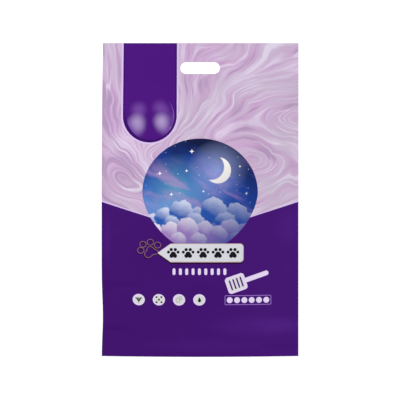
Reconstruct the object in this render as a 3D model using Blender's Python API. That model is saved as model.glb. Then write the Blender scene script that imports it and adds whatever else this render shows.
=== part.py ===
"""An empty printed film bag for cat litter, lying on its plain back.

The script is in metres with +Z up. The printed face looks up, the handle end
points along +Y and the origin is under the middle of the bag. Places on the
print are measured as a printer would, from the left edge, the top edge or the
foot, on the bag as it was cut. The last step lays that flat plan down as the
bag lies, with a little air between its two plies of film.
"""

import math

import bmesh
import bpy
import numpy as np
from mathutils import Vector
from mathutils.geometry import delaunay_2d_cdt

# The bag as it was cut
BAG_WIDTH = 0.376
BAG_HEIGHT = 0.600
FILM = 0.00015

# Welds between the two plies
SIDE_SEAL = 0.010
FOOT_SEAL = 0.015
HEADER = 0.075

# Hand slot punched through the welded header
SLOT_LENGTH = 0.0765
SLOT_WIDTH = 0.0224
SLOT_DROP = 0.0477

# Air between the plies: how high it lifts the face, and how far from a weld the full lift is reached
LOFT = 0.012
SHOULDER = 0.130

# Puckers that run in from the welds, and the long slack waves of the film
PUCKER_HEIGHT = 0.0008
PUCKER_PITCH = 0.056
PUCKER_REACH = 0.045
PUCKER_SLANT = 0.2
WAVE_HEIGHT = 0.0010
WAVE_PITCH = 0.210
WAVE_SLANT = 0.6
CROSS_WAVE_SLANT = 0.3

# The relief is full where the face has risen by this share of the loft, and none at the welds
FULL_RELIEF_RISE = 0.25

# An uneven wave: the shares of its long and short parts, how much faster the short part turns, its start
LONG_SHARE = 0.6
SHORT_SHARE = 0.4
SHORT_RATE = 1.7
SHORT_START = 1.0

# Creases, each from one place to another, measured from the left edge and from the foot
CREASE_DEPTH = 0.0011
CREASE_HALF_WIDTH = 0.010
CREASE_BLUNTNESS = 0.5
CREASE_VALLEYS = (
    ((0.012, 0.139), (0.092, 0.131)),
    ((0.012, 0.119), (0.056, 0.102)),
    ((0.012, 0.056), (0.045, 0.048)),
    ((0.246, 0.026), (0.364, 0.026)),
)
CREASE_RIDGES = (
    ((0.012, 0.129), (0.074, 0.117)),
    ((0.196, 0.057), (0.362, 0.061)),
)

# How far the creased film draws its cut edges in
HEAD_DRAW = 0.0025
CREASE_DRAW = 0.0023
CREASE_DRAW_RISE = 0.077
CREASE_DRAW_SPREAD = 0.066
FOOT_BOW = 0.0017

# Print that runs off the edge, and the pale line round the dark fields
BLEED = 0.003
KEYLINE = 0.0022

# Round forms of the print are a little less tall than wide
SQUASH = 0.932

# Banner that hangs from the top edge
BANNER_WIDTH = 0.1016
BANNER_INSET = 0.0923
BANNER_DROP = 0.1895

# Glass ball printed in the banner's round end, with a gleam low on each side
BALL_RADIUS = 0.0440
GLEAM_RADIUS = 0.0370
GLEAM_DEPTH = 0.0150
GLEAM_TURN = 18.0
GLEAM_SWEEP = 92.0

# Dark field below, with a border that dips to the middle
FIELD_DROP = 0.3035
FIELD_DIP = 0.0603

# Round picture
PICTURE_RADIUS = 0.1100
PICTURE_RUN = 0.0005
PICTURE_DROP = 0.2852
MOON_RADIUS = 0.0250
MOON_RUN = 0.0375
MOON_RISE = 0.0278
MOON_BITE = 0.0130
DUSK_LEVEL = 0.0202
FAR_CLOUD_LEVEL = 0.0482
FAR_PUFFS = ((-0.074, 0.017), (-0.040, 0.024), (0.000, 0.014), (0.034, 0.026), (0.072, 0.018))
NEAR_CLOUD_LEVEL = 0.0742
NEAR_PUFFS = ((-0.052, 0.012), (-0.028, 0.020), (0.010, 0.018), (0.042, 0.018))
STAR_REACH = 0.0050
STAR_WAIST = 0.0017
STARS = (
    (-0.077, 0.036),
    (-0.026, 0.041),
    (-0.003, 0.080),
    (-0.055, -0.004),
    (0.088, -0.002),
    (0.006, 0.002),
)

# Pale label with a pointed end
LABEL_LENGTH = 0.1635
LABEL_HEIGHT = 0.0358
LABEL_NOSE = 0.0242
LABEL_CORNER = 0.0077
LABEL_DROP = 0.4016
LABEL_RUN = 0.0014
LABEL_RIM = 0.0012
MARK_COUNT = 5
MARK_SPACING = 0.0284
MARK_INSET = 0.0204
MARK_PAD_RADIUS = 0.0066
MARK_PAD_DROP = 0.0034
MARK_TOE_RADIUS = 0.0030
MARK_TOE_REACH = 0.0102
MARK_TOE_TURNS = (30, 70, 110, 150)

# Outlined paw beside the label's point
PAW_INSET = 0.0938
PAW_DROP = 0.4000
TOE_RADIUS = 0.0067
PAW_LINE = 0.0014
PAW_TOES = ((-0.0189, 0.0038), (-0.0145, 0.0154), (-0.0004, 0.0195), (0.0134, 0.0141))
PAD_LOBES = (
    (-0.0010, 0.0119),
    (0.0078, 0.0071),
    (0.0156, 0.0027),
    (0.0151, -0.0018),
    (0.0063, -0.0054),
    (-0.0003, -0.0091),
    (-0.0061, -0.0095),
    (-0.0108, -0.0047),
    (-0.0113, 0.0012),
    (-0.0076, 0.0085),
)

# Row of upright pills below the label
PILL_COUNT = 9
PILL_LENGTH = 0.0126
PILL_WIDTH = 0.0056
PILL_SPACING = 0.0121
PILL_RUN = -0.0011
PILL_DROP = 0.4377

# Row of round badges
BADGE_COUNT = 4
BADGE_RADIUS = 0.0122
BADGE_SPACING = 0.0388
BADGE_INSET = 0.0704
BADGE_DROP = 0.4902

# Scoop emblem over a thin frame with a row of grains
SCOOP_INSET = 0.2570
SCOOP_DROP = 0.4590
SCOOP_TILT = 19.0
SCOOP_HEAD_LENGTH = 0.0380
SCOOP_HEAD_WIDTH = 0.0320
SCOOP_CORNER = 0.0060
SCOOP_HANDLE_REACH = 0.0650
SCOOP_HANDLE_WIDTH = 0.0090
SCOOP_SLOTS = 4
SCOOP_SLOT_LENGTH = 0.0200
SCOOP_SLOT_WIDTH = 0.0030
SCOOP_SLOT_SPACING = 0.0072
FRAME_INSET = 0.2350
FRAME_LENGTH = 0.0889
FRAME_HEIGHT = 0.0190
FRAME_DROP = 0.4917
FRAME_CORNER = 0.0030
FRAME_LINE = 0.0012
GRAIN_COUNT = 6
GRAIN_RADIUS = 0.0056
GRAIN_SPACING = 0.0140

# Veins of the marbled ground: half width, and a path measured from the left edge and the top edge
LIGHT_VEINS = (
    (0.0070, ((0.386, -0.004), (0.308, 0.038), (0.246, 0.080))),
    (0.0060, ((0.258, 0.070), (0.232, 0.114), (0.188, 0.166), (0.130, 0.206))),
    (0.0035, ((0.222, 0.171), (0.274, 0.157), (0.330, 0.163), (0.384, 0.178))),
    (0.0045, ((-0.006, 0.276), (0.040, 0.305), (0.088, 0.322))),
    (0.0060, ((0.019, 0.024), (0.017, 0.100), (0.036, 0.180), (0.077, 0.243))),
    (0.0055, ((0.262, 0.322), (0.310, 0.306), (0.346, 0.262))),
    (0.0050, ((0.020, 0.244), (0.034, 0.253), (0.046, 0.266))),
)
DARK_VEINS = (
    (0.0050, ((0.262, 0.104), (0.316, 0.092), (0.384, 0.096))),
    (0.0060, ((0.296, 0.186), (0.334, 0.198), (0.346, 0.226), (0.324, 0.250))),
    (0.0045, ((-0.006, 0.196), (0.026, 0.218), (0.058, 0.262), (0.072, 0.296))),
    (0.0040, ((0.152, 0.012), (0.206, 0.020), (0.262, 0.010))),
    (0.0045, ((0.344, 0.318), (0.362, 0.288), (0.372, 0.244))),
)

# Fineness of the mesh
PITCH = 0.0105
ARC_CHORD = 0.0060
SLOT_CHORD = 0.0030
LEAST_ARC_STEPS = 12
LEAST_GRID_GAP = 0.0035
WELD_DISTANCE = 0.00002
SHARP_EDGE = 40.0

# Inks, as sRGB hex colours, and the satin film that carries them
INKS = {
    "marble_ground": "CDB9D2",
    "marble_light": "DFD0E8",
    "marble_dark": "BAA2C4",
    "violet_ink": "44156F",
    "banner_ink": "4C187D",
    "keyline_ink": "D9C4EC",
    "ball_ink": "5E3490",
    "gleam_ink": "A98FC4",
    "night_sky": "17347F",
    "moonlight": "F2F0FA",
    "dusk_blue": "4A74B8",
    "cloud_blue": "A9BBE2",
    "cloud_pink": "C7A2D2",
    "bronze_ink": "8B6070",
    "label_silver": "E2E0E4",
    "mark_ink": "17121C",
    "pale_ink": "E6DAF2",
    "frame_ink": "8350AC",
}
FILM_ROUGHNESS = 0.38


def from_left(run):
    return run - BAG_WIDTH / 2


def from_top(drop):
    return BAG_HEIGHT / 2 - drop


def from_foot(rise):
    return rise - BAG_HEIGHT / 2


def stretch(start, end):
    """Points from start to just before end, no further apart than the mesh pitch."""
    start = np.array(start)
    run = np.array(end) - start
    steps = max(1, math.ceil(np.hypot(*run) / PITCH))
    return [tuple(start + run * step / steps) for step in range(steps)]


def subdivided(outline):
    """A closed outline with more points along its longer sides."""
    points = []
    for corner, following in zip(outline, outline[1:] + outline[:1]):
        points += stretch(corner, following)
    return points


def arc(x, y, radius, start, end, chord=ARC_CHORD, squash=1.0):
    """Points on an arc, with its two ends; the angles are in degrees and squash lowers its height."""
    sweep = math.radians(end - start)
    least = math.ceil(LEAST_ARC_STEPS * abs(sweep) / math.tau)
    steps = max(least, math.ceil(abs(sweep) * radius / chord))
    points = []
    for step in range(steps + 1):
        angle = math.radians(start) + sweep * step / steps
        points.append((x + radius * math.cos(angle), y + squash * radius * math.sin(angle)))
    return points


def circle(x, y, radius, squash=1.0):
    return arc(x, y, radius, 0, 360, squash=squash)[:-1]


def rounded_box(x, y, length, height, corner):
    """A rectangle with round corners, centred on x and y."""
    across = length / 2 - corner
    up = height / 2 - corner
    corners = ((across, up, 0), (-across, up, 90), (-across, -up, 180), (across, -up, 270))
    outline = []
    for run, rise, angle in corners:
        outline += arc(x + run, y + rise, corner, angle, angle + 90)
    return outline


def curve(points, closed=False):
    """A Catmull-Rom curve through the points, with steps about one mesh pitch long."""
    points = [np.array(point) for point in points]
    if closed:
        points = [points[-1], *points, points[0], points[1]]
    else:
        points = [2 * points[0] - points[1], *points, 2 * points[-1] - points[-2]]
    smooth = []
    for before, start, end, after in zip(points, points[1:], points[2:], points[3:]):
        steps = max(2, math.ceil(np.hypot(*(end - start)) / PITCH))
        for t in (step / steps for step in range(steps)):
            pull = (end - before) * t + (2 * before - 5 * start + 4 * end - after) * t**2
            turn = (3 * start - before - 3 * end + after) * t**3
            smooth.append(tuple(start + (pull + turn) / 2))
    if not closed:
        smooth.append(tuple(points[-2]))
    return smooth


def vein(half_width, path):
    """A marble vein: a band along a smooth path that narrows to nothing at both ends."""
    middle = np.array(curve([(from_left(run), from_top(drop)) for run, drop in path]))
    along = np.gradient(middle, axis=0)
    across = np.column_stack((-along[:, 1], along[:, 0])) / np.hypot(*along.T)[:, None]
    width = half_width * np.sin(np.linspace(0, math.pi, len(middle)))[:, None]
    left = middle + across * width
    right = (middle - across * width)[-2:0:-1]
    return [tuple(point) for point in (*left, *right)]


def cut_edge():
    """The rectangle the bag was cut to."""
    x = BAG_WIDTH / 2
    y = BAG_HEIGHT / 2
    return [(-x, -y), (0.0, -y), (x, -y), (x, y), (-x, y)]


def chamber_edge():
    """The inner edge of the welds."""
    left = from_left(SIDE_SEAL)
    foot = from_foot(FOOT_SEAL)
    head = from_top(HEADER)
    return [(left, foot), (-left, foot), (-left, head), (left, head)]


def rounded_bar(x, y, length, width, chord=ARC_CHORD):
    """A bar along X with half-round ends, centred on x and y."""
    reach = (length - width) / 2
    right_end = arc(x + reach, y, width / 2, -90, 90, chord)
    left_end = arc(x - reach, y, width / 2, 90, 270, chord)
    return right_end + left_end


def hand_slot():
    return rounded_bar(0, from_top(SLOT_DROP), SLOT_LENGTH, SLOT_WIDTH, SLOT_CHORD)


def banner(margin):
    """The banner's outline, grown by a margin."""
    radius = BANNER_WIDTH / 2 + margin
    x = from_left(BANNER_INSET)
    top = from_top(-BLEED)
    end = from_top(BANNER_DROP - BANNER_WIDTH / 2)
    return [(x - radius, top), *arc(x, end, radius, 180, 360), (x + radius, top)]


def dark_field(margin):
    """The dark lower field's outline, its upper border raised by a margin."""
    side = BAG_WIDTH / 2 + BLEED
    slope = FIELD_DIP / (BAG_WIDTH / 2)
    tip = from_top(FIELD_DROP + FIELD_DIP) + margin * math.hypot(1, slope)
    shoulder = tip + slope * side
    foot = from_foot(-BLEED)
    return [(-side, shoulder), (-side, foot), (side, foot), (side, shoulder), (0.0, tip)]


def gleam(x, y, middle):
    """A crescent of light inside the ball's rim, about the direction middle, pointed at both ends."""
    outer = arc(x, y, GLEAM_RADIUS, middle - GLEAM_SWEEP / 2, middle + GLEAM_SWEEP / 2)
    inner = []
    for step in range(1, len(outer) - 1):
        run, rise = outer[step]
        share = GLEAM_DEPTH / GLEAM_RADIUS * math.sin(math.pi * step / (len(outer) - 1))
        inner.append((run + share * (x - run), rise + share * (y - rise)))
    return outer + inner[::-1]


def glass_ball():
    """A clear ball in the banner's round end, with two soft gleams."""
    x = from_left(BANNER_INSET)
    y = from_top(BANNER_DROP - BANNER_WIDTH / 2)
    yield "ball_ink", circle(x, y, BALL_RADIUS)
    for middle in (180 + GLEAM_TURN, 360 - GLEAM_TURN):
        yield "gleam_ink", gleam(x, y, middle)


def star(x, y):
    """A four-pointed star."""
    points = []
    for corner in range(8):
        reach = STAR_REACH if corner % 2 == 0 else STAR_WAIST
        angle = math.tau * corner / 8
        points.append((x + reach * math.cos(angle), y + reach * math.sin(angle)))
    return points


def lower_part(x, y, level):
    """The part of the round picture that lies below a level under its middle."""
    dip = math.degrees(math.asin(level / (PICTURE_RADIUS * SQUASH)))
    return arc(x, y, PICTURE_RADIUS, 180 + dip, 360 - dip, squash=SQUASH)


def clouds(colour, x, y, level, puffs):
    """A bank of cloud across the picture, with round puffs along its top."""
    yield colour, lower_part(x, y, level)
    for run, radius in puffs:
        yield colour, circle(x + run, y - level, radius)


def picture():
    """A night sky with a crescent moon, stars and a bank of clouds."""
    x = PICTURE_RUN
    y = from_top(PICTURE_DROP)
    moon_x = x + MOON_RUN
    moon_y = y + MOON_RISE
    yield "night_sky", circle(x, y, PICTURE_RADIUS, SQUASH)
    yield "moonlight", circle(moon_x, moon_y, MOON_RADIUS)
    yield "night_sky", circle(moon_x - MOON_BITE, moon_y + MOON_BITE / 2, MOON_RADIUS)
    for run, rise in STARS:
        yield "moonlight", star(x + run, y + rise)
    yield "dusk_blue", lower_part(x, y, DUSK_LEVEL)
    yield from clouds("cloud_blue", x, y, FAR_CLOUD_LEVEL, FAR_PUFFS)
    yield from clouds("cloud_pink", x, y, NEAR_CLOUD_LEVEL, NEAR_PUFFS)


def label_outline(margin):
    """The pale label, pointed at its left end, grown by a margin."""
    y = from_top(LABEL_DROP)
    right = LABEL_RUN + LABEL_LENGTH / 2 + margin
    nose = LABEL_RUN - LABEL_LENGTH / 2 - margin
    shoulder = LABEL_RUN - LABEL_LENGTH / 2 + LABEL_NOSE
    half = LABEL_HEIGHT / 2 + margin
    outline = [(shoulder, y + half), (nose, y), (shoulder, y - half)]
    outline += arc(right - LABEL_CORNER, y - half + LABEL_CORNER, LABEL_CORNER, 270, 360)
    outline += arc(right - LABEL_CORNER, y + half - LABEL_CORNER, LABEL_CORNER, 0, 90)
    return outline


def paw_mark(x, y):
    """A small solid paw print: four toes over one pad."""
    yield circle(x, y - MARK_PAD_DROP, MARK_PAD_RADIUS)
    for turn in MARK_TOE_TURNS:
        run = MARK_TOE_REACH * math.cos(math.radians(turn))
        rise = MARK_TOE_REACH * math.sin(math.radians(turn)) - MARK_PAD_DROP
        yield circle(x + run, y + rise, MARK_TOE_RADIUS)


def label():
    """The label with its bronze rim and a row of paw prints."""
    yield "bronze_ink", label_outline(LABEL_RIM)
    yield "label_silver", label_outline(0.0)
    last = LABEL_RUN + LABEL_LENGTH / 2 - MARK_INSET
    for mark in range(MARK_COUNT):
        for outline in paw_mark(last - MARK_SPACING * mark, from_top(LABEL_DROP)):
            yield "mark_ink", outline


def pad_outline(x, y, margin):
    """The lobed main pad of the outlined paw, which points to the right."""
    grown = []
    for run, rise in PAD_LOBES:
        reach = 1 + margin / math.hypot(run, rise)
        grown.append((x + run * reach, y + rise * reach))
    return curve(grown, closed=True)


def outlined_paw():
    """A paw print drawn in a thin bronze line, left of the label's point."""
    x = from_left(PAW_INSET)
    y = from_top(PAW_DROP)
    for run, rise in PAW_TOES:
        yield "bronze_ink", circle(x + run, y + rise, TOE_RADIUS, SQUASH)
        yield "violet_ink", circle(x + run, y + rise, TOE_RADIUS - PAW_LINE, SQUASH)
    yield "bronze_ink", pad_outline(x, y, 0.0)
    yield "violet_ink", pad_outline(x, y, -PAW_LINE)


def row(count, spacing):
    """Evenly spaced places about a middle."""
    return [spacing * (place - (count - 1) / 2) for place in range(count)]


def placed(outline, x, y, angle):
    """An outline drawn about zero, turned by an angle in degrees and moved to x and y."""
    cosine = math.cos(math.radians(angle))
    sine = math.sin(math.radians(angle))
    return [(x + a * cosine - b * sine, y + a * sine + b * cosine) for a, b in outline]


def scoop():
    """A slotted litter scoop seen from above, its handle up to the right."""
    x = from_left(SCOOP_INSET)
    y = from_top(SCOOP_DROP)
    head = rounded_box(0, 0, SCOOP_HEAD_LENGTH, SCOOP_HEAD_WIDTH, SCOOP_CORNER)
    handle = rounded_bar(SCOOP_HANDLE_REACH / 2, 0, SCOOP_HANDLE_REACH, SCOOP_HANDLE_WIDTH)
    slot = rounded_bar(0, 0, SCOOP_SLOT_LENGTH, SCOOP_SLOT_WIDTH)
    yield "pale_ink", placed(handle, x, y, SCOOP_TILT)
    yield "pale_ink", placed(head, x, y, SCOOP_TILT)
    for run in row(SCOOP_SLOTS, SCOOP_SLOT_SPACING):
        upright = placed(slot, run, 0, 90)
        yield "violet_ink", placed(upright, x, y, SCOOP_TILT)


def emblem():
    """The scoop over a thin frame that holds a row of grains."""
    yield from scoop()
    x = from_left(FRAME_INSET) + FRAME_LENGTH / 2
    y = from_top(FRAME_DROP)
    inner_length = FRAME_LENGTH - 2 * FRAME_LINE
    inner_height = FRAME_HEIGHT - 2 * FRAME_LINE
    yield "frame_ink", rounded_box(x, y, FRAME_LENGTH, FRAME_HEIGHT, FRAME_CORNER)
    yield "violet_ink", rounded_box(x, y, inner_length, inner_height, FRAME_CORNER - FRAME_LINE)
    for run in row(GRAIN_COUNT, GRAIN_SPACING):
        yield "pale_ink", circle(x + run, y, GRAIN_RADIUS)


def pills():
    """A row of upright pills below the label."""
    pill = placed(rounded_bar(0, 0, PILL_LENGTH, PILL_WIDTH), 0, 0, 90)
    for run in row(PILL_COUNT, PILL_SPACING):
        yield "pale_ink", placed(pill, PILL_RUN + run, from_top(PILL_DROP), 0)


def back_print():
    """The plain back: the dark lower field on the marbled ground."""
    yield "keyline_ink", dark_field(KEYLINE)
    yield "violet_ink", dark_field(0.0)


def front_print():
    """Every field of the printed face, from the ground up, as an ink and a closed outline."""
    for half_width, path in LIGHT_VEINS:
        yield "marble_light", vein(half_width, path)
    for half_width, path in DARK_VEINS:
        yield "marble_dark", vein(half_width, path)
    yield from back_print()
    yield "keyline_ink", banner(KEYLINE)
    yield "banner_ink", banner(0.0)
    yield from glass_ball()
    yield from picture()
    yield from outlined_paw()
    yield from label()
    yield from pills()
    for badge in range(BADGE_COUNT):
        x = from_left(BADGE_INSET + BADGE_SPACING * badge)
        yield "pale_ink", circle(x, from_top(BADGE_DROP), BADGE_RADIUS, SQUASH)
    yield from emblem()


def crease_lines(creases):
    """The creases as pairs of plan points."""
    return [((from_left(a), from_foot(b)), (from_left(c), from_foot(d))) for (a, b), (c, d) in creases]


def covered(points, outline):
    """Which of the points lie inside a closed outline."""
    x, y = points.T
    inside = np.zeros(len(points), bool)
    for (x1, y1), (x2, y2) in zip(outline, outline[1:] + outline[:1]):
        if y1 == y2:
            continue
        crossed = (y1 > y) != (y2 > y)
        inside ^= crossed & (x < x1 + (x2 - x1) * (y - y1) / (y2 - y1))
    return inside


def distance_to(points, start, end):
    """How far each point lies from a straight line between two places."""
    start = np.array(start)
    run = np.array(end) - start
    share = np.clip((points - start) @ run / (run @ run), 0, 1)
    return np.linalg.norm(points - start - share[:, None] * run, axis=1), share


def plan():
    """The flat bag as triangles that follow every outline: points, and three indices for each triangle."""
    points = []
    edges = []
    loops = [cut_edge(), chamber_edge(), hand_slot()]
    loops += [outline for _, outline in front_print()]
    for loop in map(subdivided, loops):
        first = len(points)
        points += loop
        edges += [(first + i, first + (i + 1) % len(loop)) for i in range(len(loop))]
    for start, end in crease_lines(CREASE_VALLEYS + CREASE_RIDGES):
        first = len(points)
        line = stretch(start, end) + [end]
        points += line
        edges += [(first + i, first + i + 1) for i in range(len(line) - 1)]
    across = np.linspace(-BAG_WIDTH / 2, BAG_WIDTH / 2, math.ceil(BAG_WIDTH / PITCH) + 1)[1:-1]
    up = np.linspace(-BAG_HEIGHT / 2, BAG_HEIGHT / 2, math.ceil(BAG_HEIGHT / PITCH) + 1)[1:-1]
    grid = np.array([(x, y) for x in across for y in up])
    for a, b in edges:
        grid = grid[distance_to(grid, points[a], points[b])[0] > LEAST_GRID_GAP]
    points += [tuple(point) for point in grid]
    flat = [Vector(point) for point in points]
    made, _, triangles, *_ = delaunay_2d_cdt(flat, edges, [], 0, WELD_DISTANCE, False)
    made = np.array([tuple(point) for point in made])
    triangles = np.array(triangles)
    middles = made[triangles].mean(axis=1)
    kept = covered(middles, cut_edge()) & ~covered(middles, hand_slot())
    return made, triangles[kept]


def ripple(place, pitch):
    """An uneven wave between -1 and 1."""
    turn = math.tau * place / pitch
    return LONG_SHARE * np.sin(turn) + SHORT_SHARE * np.sin(SHORT_RATE * turn + SHORT_START)


def lift(points):
    """How far the air and the slack of the film lift the face at each plan point."""
    x, y = points.T
    to_side = BAG_WIDTH / 2 - SIDE_SEAL - np.abs(x)
    head = from_top(HEADER)
    foot = from_foot(FOOT_SEAL)
    to_end = np.minimum(head - y, y - foot)
    in_from_side = np.clip(to_side / SHOULDER, 0, 1)
    in_from_end = np.clip(to_end / SHOULDER, 0, 1)
    rise = np.sin(in_from_side * math.pi / 2) * np.sin(in_from_end * math.pi / 2)
    wave = ripple(x + WAVE_SLANT * y, WAVE_PITCH)
    cross_wave = np.cos(math.pi * (y - CROSS_WAVE_SLANT * x) / WAVE_PITCH)
    relief = WAVE_HEIGHT * wave * cross_wave
    for distance, place in ((to_side, y + PUCKER_SLANT * x), (to_end, x + PUCKER_SLANT * y)):
        fade = np.sin(np.clip(distance / PUCKER_REACH, 0, 1) * math.pi)
        relief += PUCKER_HEIGHT * fade * ripple(place, PUCKER_PITCH)
    for depth, creases in ((-CREASE_DEPTH, CREASE_VALLEYS), (CREASE_DEPTH, CREASE_RIDGES)):
        for start, end in crease_lines(creases):
            distance, share = distance_to(points, start, end)
            profile = np.clip(1 - distance / CREASE_HALF_WIDTH, 0, 1)
            relief += depth * profile * np.sin(math.pi * share) ** CREASE_BLUNTNESS
    return np.maximum(LOFT * rise + relief * np.minimum(1, rise / FULL_RELIEF_RISE), 0)


def laid(points):
    """Where each plan point comes to lie, as the creases and the air draw the cut edges in."""
    x, y = points.T
    left_share = np.clip(-x / (BAG_WIDTH / 2), 0, 1)
    head_share = np.clip(y / (BAG_HEIGHT / 2), 0, 1)
    crease_share = np.exp(-(((y - from_foot(CREASE_DRAW_RISE)) / CREASE_DRAW_SPREAD) ** 2))
    draw = left_share * (HEAD_DRAW * head_share + CREASE_DRAW * crease_share)
    foot_share = np.clip(-y / (BAG_HEIGHT / 2), 0, 1)
    bow = FOOT_BOW * foot_share * (x / (BAG_WIDTH / 2)) ** 2
    return np.column_stack((x + draw, y + bow))


def ink(name):
    """One ink on the satin film."""
    linear = []
    for start in (0, 2, 4):
        level = int(INKS[name][start : start + 2], 16) / 255
        linear.append(level / 12.92 if level <= 0.04045 else ((level + 0.055) / 1.055) ** 2.4)
    material = bpy.data.materials.new(name)
    material.use_nodes = True
    material.diffuse_color = (*linear, 1.0)
    shader = material.node_tree.nodes["Principled BSDF"]
    shader.inputs["Base Color"].default_value = (*linear, 1.0)
    shader.inputs["Roughness"].default_value = FILM_ROUGHNESS
    shader.inputs["Metallic"].default_value = 0.0
    return material


def printed(middles, fields):
    """The ink number that shows at each place, the topmost field's."""
    numbers = np.zeros(len(middles), int)
    names = list(INKS)
    for name, outline in fields:
        numbers[covered(middles, outline)] = names.index(name)
    return numbers


def litter_bag():
    """The bag: its flat back, and the face extruded from the back and lifted by the film and the air."""
    points, triangles = plan()
    middles = points[triangles].mean(axis=1)
    face_inks = printed(middles, front_print())
    back_inks = printed(middles, back_print())
    places = laid(points)
    heights = 2 * FILM + lift(points)
    shape = bmesh.new()
    height = shape.verts.layers.float.new("height")
    back_ink = shape.faces.layers.int.new("back_ink")
    corners = {}
    for index in np.unique(triangles):
        corners[index] = shape.verts.new((*places[index], 0.0))
        corners[index][height] = heights[index]
    for triangle, face_number, back_number in zip(triangles, face_inks, back_inks):
        face = shape.faces.new([corners[index] for index in triangle])
        face.material_index = int(face_number)
        face[back_ink] = int(back_number)
    back = list(shape.faces)
    grown = bmesh.ops.extrude_face_region(shape, geom=back, use_keep_orig=True)
    for item in grown["geom"]:
        if isinstance(item, bmesh.types.BMVert):
            item.co.z = item[height]
    for face in back:
        face.material_index = face[back_ink]
    bmesh.ops.recalc_face_normals(shape, faces=shape.faces)
    shape.verts.layers.float.remove(height)
    shape.faces.layers.int.remove(back_ink)
    mesh = bpy.data.meshes.new("litter_bag")
    shape.to_mesh(mesh)
    shape.free()
    return mesh


def main():
    for thing in list(bpy.data.objects):
        bpy.data.objects.remove(thing)
    mesh = litter_bag()
    for name in INKS:
        mesh.materials.append(ink(name))
    mesh.shade_smooth()
    mesh.set_sharp_from_angle(angle=math.radians(SHARP_EDGE))
    bag = bpy.data.objects.new("litter_bag", mesh)
    bpy.context.scene.collection.objects.link(bag)


main()
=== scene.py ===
"""A printed film bag for cat litter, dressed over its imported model, as a Blender add-on.

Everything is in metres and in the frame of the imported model: the bag lies on its
back, its printed face looks up and its handle end points along +Y. Places on the
print are in millimetres from the left edge and the top edge of the flat bag, as
on a printer's layout sheet.
"""

import math

import bpy
import numpy as np
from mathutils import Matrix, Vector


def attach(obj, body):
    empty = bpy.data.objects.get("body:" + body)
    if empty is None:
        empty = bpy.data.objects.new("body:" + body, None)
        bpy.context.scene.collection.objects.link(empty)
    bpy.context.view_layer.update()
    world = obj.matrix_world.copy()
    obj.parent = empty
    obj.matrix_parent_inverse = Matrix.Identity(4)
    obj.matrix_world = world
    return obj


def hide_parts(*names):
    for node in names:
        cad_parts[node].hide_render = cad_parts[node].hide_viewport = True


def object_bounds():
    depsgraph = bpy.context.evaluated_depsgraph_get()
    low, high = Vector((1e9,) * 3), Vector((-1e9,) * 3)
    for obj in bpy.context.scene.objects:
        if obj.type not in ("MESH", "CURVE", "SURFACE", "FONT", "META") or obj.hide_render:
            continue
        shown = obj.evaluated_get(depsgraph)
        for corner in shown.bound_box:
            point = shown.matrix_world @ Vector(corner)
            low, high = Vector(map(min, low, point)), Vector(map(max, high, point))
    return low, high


bl_info = {
    "name": "Litter bag",
    "version": (1, 0, 0),
    "blender": (4, 5, 0),
    "location": "3D View > Sidebar > Litter bag",
    "description": "Dresses a packed film bag with its printed film and sets up its studio",
    "category": "Object",
}

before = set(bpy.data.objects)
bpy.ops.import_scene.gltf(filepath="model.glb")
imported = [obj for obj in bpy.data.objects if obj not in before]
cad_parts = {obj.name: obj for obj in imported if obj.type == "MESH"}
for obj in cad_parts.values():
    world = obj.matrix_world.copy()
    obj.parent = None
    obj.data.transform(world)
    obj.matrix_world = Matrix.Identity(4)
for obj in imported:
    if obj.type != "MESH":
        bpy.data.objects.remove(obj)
CAD_BOX = [list(corner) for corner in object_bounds()]
CAD_NODE = "litter_bag"
WIDTH = CAD_BOX[1][0] - CAD_BOX[0][0]
LENGTH = CAD_BOX[1][1] - CAD_BOX[0][1]
MM = 0.001

MIX = "ShaderNodeMix"
RANGE = "ShaderNodeMapRange"
SPLIT = "ShaderNodeSeparateXYZ"
JOIN = "ShaderNodeCombineXYZ"
NOISE = "ShaderNodeTexNoise"
VORONOI = "ShaderNodeTexVoronoi"
RAMP = "ShaderNodeValToRGB"

ORIGIN = (0.0, 0.0, 0.0)

# Spread of ink at a printed edge
INK_EDGE = 0.35 * MM

# Welds between the plies, and how far the relief of the film fades in from them
SIDE_SEAL = 10 * MM
FOOT_SEAL = 15 * MM
HEADER = 75 * MM
RELIEF_FADE = 28 * MM

# From the left edge to the slot's middle in millimetres, and the height of the die that punches it
SLOT_LEFT = 188.0
DIE_HEIGHT = 20 * MM

# How far the creased film draws its cut edges in
HEAD_DRAW = 2.5 * MM
CREASE_DRAW = 2.3 * MM
CREASE_DRAW_RISE = 77 * MM
CREASE_DRAW_SPREAD = 50 * MM
FOOT_BOW = 1.7 * MM

# Fine creases, from one place to another, with their depth, in millimetres; a minus stands up
CREASES = (
    ((6, 460), (96, 470), 0.50),
    ((6, 474), (80, 486), -0.40),
    ((6, 481), (62, 500), 0.50),
    ((4, 545), (48, 553), 0.45),
    ((190, 545), (364, 538), -0.40),
    ((240, 574), (368, 573), 0.45),
    ((300, 500), (372, 512), 0.30),
    ((60, 556), (150, 566), 0.30),
    ((372, 420), (316, 440), -0.30),
)
CREASE_HALF_WIDTH = 4.5 * MM

# Texture map: its free margin, and the width of the strips for the cut edges
MAP_MARGIN = 0.005
MAP_STRIP = 0.0025

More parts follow.
